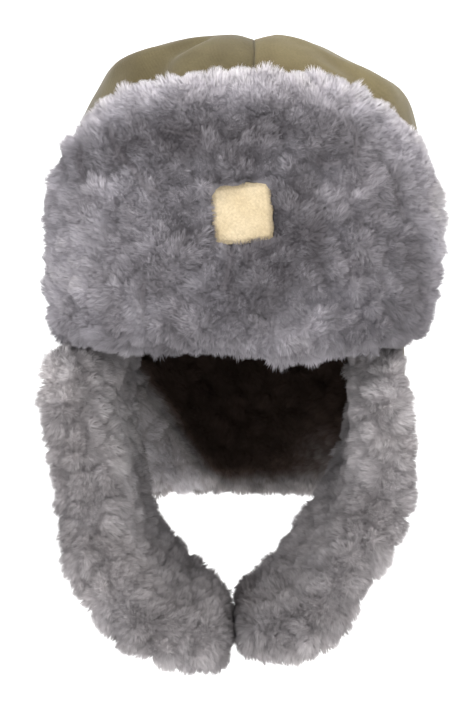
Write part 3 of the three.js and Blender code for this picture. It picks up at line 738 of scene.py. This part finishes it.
def hair_tones(pile, shades, lit, settings, random):
    """How bright each hair's three points are: darker at its foot, at the edge of its lock, and
    between tufts, all painted shade."""
    tone = shades * lit * between(0.94, 1.06, pile.lock_height)
    tone = tone * between(0.97, 1.03, random.random(len(tone)))
    tone = tone * between(0.88, 1, pile.lock_dome)
    tone = tone * (1.01 - settings["cleft"] * (1 - pile.tuft_dome))
    return np.stack([tone * FOOT_TONE, tone * FOOT_TONE, tone], axis=1).ravel()


def coloured(tones, tint):
    """Colours for brightnesses, in a coat's tints."""
    pale, middle, shadow = tint
    colour = between(shadow, middle, smoothstep(0.02, 0.35, tones)[:, None])
    colour = between(colour, pale, smoothstep(0.6, 0.9, tones)[:, None])
    return colour * np.clip(tones, 0.012, 1.0)[:, None]


def fur_coat(name, node, own, material, walls, shade_at, keep_clear=None, partings=()):
    """A fur piece: a skin, and on it a dense pile of fine hairs in domed locks. The hairs of a lock
    lean one way, and the small locks stand in bigger tufts."""
    settings = {**COAT, **own}
    random = np.random.default_rng(settings["seed"])
    skin = fur_skin(name, node, settings["voxel"])
    pile = hair_roots(skin.data, tree_of([node]), settings, walls, keep_clear, random)
    group_hairs(pile, settings, random)
    tall, lit, opened = parted(pile.roots, partings)
    lean = leans_of(pile, settings, random) + opened
    hair = hair_points(pile, lean, tall, settings, random)
    tones = hair_tones(pile, shade_at(pile.roots), lit, settings, random)

    skin_points, skin_triangles, skin_normals = arrays_of(skin.data)
    skin_tones = shade_at(skin_points) * SKIN_TONE * parted(skin_points, partings)[1]
    hair_triangles = np.arange(len(hair)).reshape(-1, 3) + len(skin_points)
    mesh = triangle_mesh(
        name,
        np.concatenate([skin_points, hair]),
        np.concatenate([skin_triangles, hair_triangles]),
    )
    colours = coloured(np.concatenate([skin_tones, tones]), settings["tint"])
    opaque = np.concatenate([colours, np.ones((len(colours), 1))], axis=1)
    shade = mesh.attributes.new("hair_colour_painted_light", "FLOAT_COLOR", "POINT")
    shade.data.foreach_set("color", opaque.astype(np.float32).ravel())
    # A lock is lit as one soft dome, so its hairs share the dome's normals.
    domed = pile.faced - pile.to_middle / settings["lock"] * 0.5 + along_skin(lean, pile) * 0.2
    normals = np.concatenate([skin_normals, np.repeat(unit(domed), 3, axis=0)])
    mesh.normals_split_custom_set_from_vertices(normals.tolist())
    old = skin.data
    skin.data = mesh
    bpy.data.meshes.remove(old)
    place(skin, [node], "grey_fur", material)


def parted(points, partings):
    """What partings do to the pile at each point: the share of its length that is left, the share
    of its light, and how it leans open."""
    tall, lit, opened = np.ones(len(points)), np.ones(len(points)), np.zeros((len(points), 3))
    for line, width, shorter, darker in partings:
        off, away = beside(points, line)
        near = np.exp(-((off / width) ** 2))
        tall *= 1 - shorter * near
        lit *= 1 - darker * near
        opened += away * (0.7 * near)[:, None]
    return tall, lit, opened


def beside(points, line):
    """How far points are from a line of (x, z) points, and which way leads away from it."""
    best = np.ones(len(points))
    away = np.zeros((len(points), 3))
    flat = points[:, [0, 2]]
    for start, end in zip(line[:-1], line[1:]):
        start, end = np.array(start), np.array(end)
        run = end - start
        share = np.clip((flat - start) @ run / (run @ run), 0, 1)
        gap = flat - start - share[:, None] * run
        off = np.linalg.norm(gap, axis=1)
        nearer = off < best
        best[nearer] = off[nearer]
        away[nearer] = np.stack([gap[:, 0], 0 * off, gap[:, 1]], axis=1)[nearer]
    return best, unit(away)


# Light and dark in the fur

PATCH_SIDE = 32.5 * MM
PATCH_TURN = math.radians(5)
PATCH_CLEAR = 0.3 * MM  # the pile's distance from the patch

# Paler and darker places in the pile, painted light and shade, in mm. The front flap's are from the
# patch's middle, and the others from the rim's.
PLACE_COLUMNS = ("across", "up", "wide", "high", "amount")
FRONT_PLACES = [
    (-54, 38, 50, 20, -0.22),
    (20, 44, 40, 14, -0.1),
    (-108, 26, 12, 20, 0.22),
    (-74, 14, 12, 8, 0.18),
    (-96, -12, 24, 34, 0.2),
    (-84, -44, 28, 20, 0.16),
    (-36, -18, 16, 12, -0.08),
    (6, -38, 26, 22, -0.2),
    (34, -4, 24, 30, -0.24),
    (52, 15, 18, 11, 0.22),
    (82, 32, 12, 12, 0.22),
    (60, -26, 15, 14, 0.14),
    (88, -24, 18, 32, -0.12),
    (108, 14, 13, 42, 0.44),
    (36, -50, 22, 12, 0.2),
    (32, -68, 38, 8, 0.16),
    (-40, -72, 24, 8, -0.08),
]
RIGHT_EAR_PLACES = [
    (-112, -22, 24, 16, 0.4),
    (-84, -20, 16, 12, -0.06),
    (-66, -56, 16, 20, 0.2),
    (-94, -104, 22, 22, -0.12),
    (-90, -142, 16, 22, 0.1),
    (-34, -148, 28, 22, -0.28),
    (-8, -158, 7, 32, -0.25),
    (-60, -178, 34, 12, 0.16),
]
LEFT_EAR_PLACES = [
    (92, -22, 16, 18, 0.25),
    (86, -60, 18, 52, 0.1),
    (62, -90, 12, 22, -0.2),
    (46, -114, 22, 24, -0.16),
    (86, -138, 12, 28, 0.16),
    (6, -140, 30, 28, -0.38),
    (-2, -160, 9, 32, -0.2),
    (36, -176, 36, 12, 0.18),
]


def added(points, middle, places):
    """How much those places add to the shade at each point."""
    x = (points[:, 0] - middle[0]) / MM
    z = (points[:, 2] - middle[2]) / MM
    total = np.zeros(len(points))
    for row in places:
        place = dict(zip(PLACE_COLUMNS, row))
        off_across = (x - place["across"]) / place["wide"]
        off_up = (z - place["up"]) / place["high"]
        total += place["amount"] * np.exp(-(off_across**2) - off_up**2)
    return total


def mottled(points, seed):
    """Soft patches of pile, big and small, that vary its shade a little."""
    return noise_at(points, 26 * MM, seed) * 0.13 + noise_at(points, 10 * MM, seed + 1) * 0.1


def patch_middle():
    """The middle of the patch's front face."""
    low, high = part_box("badge_patch")
    return np.array([(low.x + high.x) / 2, low.y, (low.z + high.z) / 2])


def under_patch(points):
    """Which points of the front flap lie under the patch or too close to it."""
    middle = patch_middle()
    x, z = points[:, 0] - middle[0], points[:, 2] - middle[2]
    along = x * math.cos(PATCH_TURN) + z * math.sin(PATCH_TURN)
    rise = -x * math.sin(PATCH_TURN) + z * math.cos(PATCH_TURN)
    half = PATCH_SIDE / 2 + PATCH_CLEAR
    in_front = points[:, 1] < -80 * MM
    return (np.abs(along) < half) & (np.abs(rise) < half) & in_front


def front_shade(points):
    """The front flap's pile, in painted light and shade: palest along its top, and darker close
    round the patch.
    """
    middle = patch_middle()
    x, z = points[:, 0] - middle[0], points[:, 2] - middle[2]
    # Painted light along the top, and painted shade close round the patch.
    top = smoothstep(52 * MM, 74 * MM, z + 0.45 * np.maximum(np.abs(x) - 40 * MM, 0))
    off_patch = np.maximum(np.abs(x), np.abs(z)) - PATCH_SIDE / 2
    in_front = points[:, 1] < middle[1] + 30 * MM
    near_patch = (1 - smoothstep(0, 6 * MM, off_patch)) * in_front
    shade = 0.5 + 0.4 * top + added(points, middle, FRONT_PLACES) + mottled(points, 11)
    return shade * (1 - 0.25 * near_patch)


def ear_shade(points, places, seed, lit_from, lit_at, inner_dark):
    """An ear flap's pile: darker on its inner face, but not where light from the front reaches it,
    from one depth under the rim to another."""
    low = smoothstep(RIM_Z - lit_from, RIM_Z - lit_at, points[:, 2])
    inside = smoothstep(-85 * MM, -50 * MM, points[:, 1]) * (1 - low)
    shade = 0.74 + added(points, (0, 0, RIM_Z), places) + mottled(points, seed)
    return shade * (1 - inner_dark * inside)


def right_ear_shade(points):
    return ear_shade(points, RIGHT_EAR_PLACES, 23, 20 * MM, 50 * MM, 0.3)


def left_ear_shade(points):
    return ear_shade(points, LEFT_EAR_PLACES, 37, 70 * MM, 110 * MM, 0.2)


def neck_shade(points):
    """The neck flap's pile lies in the crown's shadow. Light from the front reaches its lower edge,
    its lower left and a slope at the wearer's right, and its outside is as light as the rest."""
    x, y, z = points[:, 0] / MM, points[:, 1] / MM, (points[:, 2] - RIM_Z) / MM
    slope = smoothstep(14, -14, x + 61 - 0.69 * (-35 - z))
    below = smoothstep(-80, -94, z)
    lump = np.exp(-(((x - 50) / 22) ** 2) - ((z + 76) / 20) ** 2)
    shade = 0.07 + 1.1 * slope + 0.42 * below + 0.2 * lump
    shade = np.minimum(shade, 0.62 + 0.4 * slope * smoothstep(-25, -55, z))
    from_middle = (np.abs(x / 90) ** CROWN_SHAPE + np.abs(y / 110) ** CROWN_SHAPE) ** (1 / CROWN_SHAPE)
    shade = between(shade, 0.66, smoothstep(0.93, 1.0, from_middle))
    return shade * (1 + mottled(points, 31))


def photo_place(across, down):
    """The (x, z) in metres of a point of the photograph, in pixels."""
    return (
        CAMERA_X + (across - PHOTO_WIDTH / 2) * PIXEL,
        RIM_Z - CAMERA_BELOW_RIM - (down - PHOTO_HEIGHT / 2) * PIXEL,
    )


# Partings in the front flap's pile. Each is a line of points of the photograph, as pixels across
# and down, then its width in mm and by what share the pile is shorter and darker there; the
# darkening is painted shade. The last four trim the pile along the flap's edge.
FRONT_PARTINGS = [
    ([(119, 143), (124, 160), (132, 173), (143, 185), (150, 198), (163, 206)], 2.2, 0.75, 0.5),
    ([(168, 148), (184, 152), (201, 152)], 1.8, 0.6, 0.4),
    ([(152, 290), (148, 312), (154, 328)], 2.2, 0.75, 0.5),
    ([(228, 248), (231, 268), (226, 292)], 2.2, 0.6, 0.4),
    ([(338, 138), (347, 152), (346, 170)], 2.0, 0.6, 0.45),
    ([(92, 160), (90, 178), (97, 195)], 2.0, 0.6, 0.4),
    ([(388, 180), (382, 205), (392, 228)], 2.2, 0.6, 0.4),
    ([(324, 112), (330, 121), (338, 119)], 1.8, 0.6, 0.4),
    ([(364, 168), (372, 176), (378, 190)], 1.8, 0.6, 0.45),
    ([(310, 176), (320, 181), (331, 178)], 1.8, 0.6, 0.35),
    ([(264, 121), (272, 128), (284, 127)], 1.8, 0.6, 0.35),
    ([(70, 152), (73, 170), (80, 188)], 1.8, 0.6, 0.35),
    ([(106, 262), (116, 272), (117, 288)], 1.8, 0.6, 0.4),
    ([(84, 300), (92, 312), (104, 316)], 1.8, 0.6, 0.35),
    ([(300, 312), (312, 322), (328, 320)], 1.8, 0.6, 0.35),
    ([(372, 262), (366, 280), (374, 296)], 1.8, 0.6, 0.4),
    ([(70, 125), (110, 92), (170, 75), (250, 64)], 3.6, 0.3, 0.05),
    ([(286, 64), (318, 77), (350, 88), (392, 112)], 5.0, 0.5, 0.15),
    ([(444, 300), (438, 326), (420, 344), (398, 354)], 5.0, 0.45, 0.2),
    ([(40, 316), (52, 338), (74, 352)], 4.0, 0.4, 0.15),
]


# Patch

PATCH_CELLS = 44
PATCH_CORNER = 0.055  # the share by which its corners are drawn in
PATCH_PUCKER = 0.35 * MM
PATCH_PUFF = 1.1 * MM  # how far its middle stands out from its edge
PATCH_BACK = 1.6 * MM
GROOVE_IN, GROOVE_WIDTH, GROOVE_DEPTH = 2 * MM, 0.5 * MM, 0.25 * MM  # along its stitching


def patch(name, material):
    """The patch: a square of cloth with turned edges, puckered a little along its stitching."""
    share = np.linspace(-1, 1, PATCH_CELLS + 1)
    u, v = np.meshgrid(share, share, indexing="ij")
    half = PATCH_SIDE / 2
    to_edge = half * (1 - np.maximum(np.abs(u), np.abs(v)))
    corner = 1 - PATCH_CORNER * np.clip(np.hypot(u, v) - 1, 0, 1) / 0.41
    x = u * half * corner + np.where(np.abs(u) > 0.9, PATCH_PUCKER * np.sin(v * 11 + 1), 0)
    z = v * half * corner + np.where(np.abs(v) > 0.9, PATCH_PUCKER * np.sin(u * 10), 0)
    pull = PATCH_PUCKER * np.sin(u * 9.4) * np.cos(v * 7.9)
    puffed = PATCH_PUFF * smoothstep(0, 3 * MM, to_edge) + pull * smoothstep(0, 6 * MM, to_edge)
    groove = GROOVE_DEPTH * np.exp(-((to_edge - GROOVE_IN) / GROOVE_WIDTH) ** 2)
    cosine, sine = math.cos(PATCH_TURN), math.sin(PATCH_TURN)
    across, up = x * cosine - z * sine, x * sine + z * cosine
    middle = patch_middle() + np.array([0, PATCH_PUFF, 0])
    front = np.stack([across, groove - puffed, up], axis=-1) + middle
    rear = np.stack([across, np.full_like(up, PATCH_BACK), up], axis=-1) + middle
    points = np.concatenate([front.reshape(-1, 3), rear.reshape(-1, 3)])
    at = np.arange(len(points)).reshape(2, PATCH_CELLS + 1, PATCH_CELLS + 1)
    obj = new_object(name, mesh_of(name, points, np.concatenate(shell_faces(at, flip=True))))
    place(obj, ["badge_patch"], "cream_patch", material)


# Scene

SENSOR_WIDTH = 36  # of the camera, in mm
# The studio, in metres: how far under the hat its floor is, where the floor begins to turn up, and
# how far off and how high its wall is.
FLOOR_BELOW, FLOOR_EDGE, WALL_AWAY, WALL_HIGH = 0.11, 3.6, 4.6, 4.0
SWEEP_AROUND, SWEEP_BENDS = 72, 12
SWEEP_GLOW, SKY_STRENGTH = 0.4, 0.42
LIT_POINT = (0, 0, -0.16)
LIGHT_COLUMNS = ("name", "where", "size", "power", "colour")
LIGHTS = [
    ("key", (0.7, -1.3, 1.6), 1.0, 34, (1, 0.985, 0.965)),
    ("fill", (-1.4, -1.5, 0.6), 1.2, 17, (0.98, 0.985, 1)),
    ("top", (0.0, -0.05, 1.5), 0.9, 22, (1, 1, 1)),
]

# Each cloth: its name, its colour and its darker colour.
CLOTHS = [
    ("olive_twill", OLIVE, OLIVE_DARK),
    # The same olive, darkened as painted shade.
    ("olive_twill_painted_shade", OLIVE_IN_PAINTED_SHADE, OLIVE_IN_PAINTED_SHADE_DARK),
    # Near-black, for the crown's inner faces: painted shade.
    ("crown_inside_painted_shade", (0.012, 0.009, 0.006), (0.008, 0.006, 0.004)),
    ("cream_cloth", (0.53, 0.44, 0.3), (0.46, 0.37, 0.235)),
    ("dark_webbing", (0.022, 0.022, 0.02), (0.012, 0.012, 0.011)),
]
# Each crown panel: its object and node, the bearing of its first seam in degrees, and its cloth.
CROWN_PANELS = [
    ("crown_front_left", "crown_panel_front_left", 0, "olive_twill"),
    ("crown_back_left", "crown_panel_back_left", 90, "olive_twill"),
    ("crown_back_right", "crown_panel_back_right", 180, "olive_twill"),
    # This panel's cloth carries painted shade.
    ("crown_front_right", "crown_panel_front_right", 270, "olive_twill_painted_shade"),
]
# Each flap's cloth: its object and node, its flat width and height in metres, and its flat area.
FLAP_CLOTHS = [
    ("front_flap_cover", "front_flap_cloth", (0.26, 0.13), 0.0265),
    ("ear_cover_right", "ear_flap_cloth_right", (0.26, 0.15), 0.025),
    ("ear_cover_left", "ear_flap_cloth_left", (0.26, 0.15), 0.025),
    ("neck_cover", "neck_flap_cloth", (0.25, 0.085), 0.0185),
]
FRONT_COAT = {
    "seed": 1,
    "comb": np.array([0, 0, 0.1]),
    "depth": 1.2 * MM,
    "above": 2.9 * MM,
    "cleft": 0.13,
    "tint": COOL,
}
NECK_COAT = {"seed": 4, "hairs": 120000, "tint": BROWN}


def make_camera():
    data = bpy.data.cameras.new("camera")
    data.sensor_width = SENSOR_WIDTH
    data.lens = SENSOR_WIDTH * CAMERA_DISTANCE / (PHOTO_HEIGHT * PIXEL)
    camera = bpy.data.objects.new("camera", data)
    camera.location = (CAMERA_X, -CAMERA_DISTANCE, RIM_Z - CAMERA_BELOW_RIM)
    camera.rotation_euler = (math.pi / 2, 0, 0)
    bpy.context.scene.collection.objects.link(camera)
    bpy.context.scene.camera = camera


def area_light(name, where, size, power, colour):
    data = bpy.data.lights.new(name, "AREA")
    data.shape = "DISK"
    data.size = size
    data.energy = power
    data.color = colour
    light = bpy.data.objects.new(name, data)
    light.location = where
    aim = Vector(LIT_POINT) - Vector(where)
    light.rotation_euler = aim.to_track_quat("-Z", "Y").to_euler()
    bpy.context.scene.collection.objects.link(light)


def sweep_mesh():
    """A floor that turns up into a wall all round."""
    low = cad_box[0].z - FLOOR_BELOW
    reach = WALL_AWAY - FLOOR_EDGE
    profile = [(0.001, 0.0), (FLOOR_EDGE, 0.0)]
    for k in range(1, SWEEP_BENDS + 1):
        angle = math.pi / 2 * k / SWEEP_BENDS
        profile.append((FLOOR_EDGE + reach * math.sin(angle), reach * (1 - math.cos(angle))))
    profile.append((WALL_AWAY, WALL_HIGH))
    bearings = [2 * math.pi * k / SWEEP_AROUND for k in range(SWEEP_AROUND)]
    points = [
        (radius * math.cos(bearing), radius * math.sin(bearing), low + rise)
        for radius, rise in profile
        for bearing in bearings
    ]
    at = np.arange(len(points)).reshape(len(profile), SWEEP_AROUND)
    after = np.roll(at, -1, axis=1)
    faces = np.stack([at[:-1], after[:-1], after[1:], at[1:]], axis=-1).reshape(-1, 4)
    return mesh_of("studio_sweep", points, faces)


def make_studio():
    """The white sweep, a pale sky, and soft lights."""
    sweep = new_object("studio_sweep", sweep_mesh())
    material, shader, add = new_material("white_sweep", roughness=0.9)
    tone = object_noise(material, add, scale=3)
    white = ramp(material, add, tone, "Fac", [(0.3, (0.88, 0.88, 0.88)), (0.7, (0.9, 0.9, 0.9))])
    link(material, white, "Color", shader, "Base Color")
    shader.inputs["Emission Color"].default_value = (1, 1, 1, 1)
    shader.inputs["Emission Strength"].default_value = SWEEP_GLOW
    sweep.data.materials.append(material)

    scene = bpy.context.scene
    scene.world = bpy.data.worlds.new("sky")
    scene.world.use_nodes = True
    sky = scene.world.node_tree.nodes["Background"]
    sky.inputs["Color"].default_value = (1, 1, 1, 1)
    sky.inputs["Strength"].default_value = SKY_STRENGTH
    scene.view_settings.view_transform = "Standard"
    scene.view_settings.look = "None"
    for row in LIGHTS:
        area_light(**dict(zip(LIGHT_COLUMNS, row)))


def cover_in_cloth(cloths):
    """The crown's panels and the cloth sides of the flaps."""
    for name, node, from_bearing, cloth in CROWN_PANELS:
        crown_panel(name, node, from_bearing, cloths[cloth], cloths["crown_inside_painted_shade"])
    for name, node, flat, area in FLAP_CLOTHS:
        flap_cloth(name, node, cloths["olive_twill"])


def cover_in_fur(fur):
    """The pile of each flap."""
    walls = tree_of([name for name in nodes if "fur" not in name and "patch" not in name])
    partings = [
        ([photo_place(*point) for point in line], width * MM, shorter, darker)
        for line, width, shorter, darker in FRONT_PARTINGS
    ]
    fur_coat(
        "front_flap_pile", "front_flap_fur", FRONT_COAT, fur, walls, front_shade,
        keep_clear=under_patch, partings=partings,
    )
    fur_coat("ear_pile_right", "ear_flap_fur_right", {"seed": 2}, fur, walls, right_ear_shade)
    fur_coat("ear_pile_left", "ear_flap_fur_left", {"seed": 3}, fur, walls, left_ear_shade)
    fur_coat("neck_pile", "neck_flap_fur", NECK_COAT, fur, walls, neck_shade)


def main():
    make_camera()
    make_studio()
    cloths = {name: cloth_material(name, colour, dark) for name, colour, dark in CLOTHS}
    fur = fur_material("grey_pile")
    cover_in_cloth(cloths)
    cover_in_fur(fur)
    patch("pale_patch", cloths["cream_cloth"])
    nodes["chin_tab"].data.materials.clear()
    nodes["chin_tab"].data.materials.append(cloths["dark_webbing"])


main()
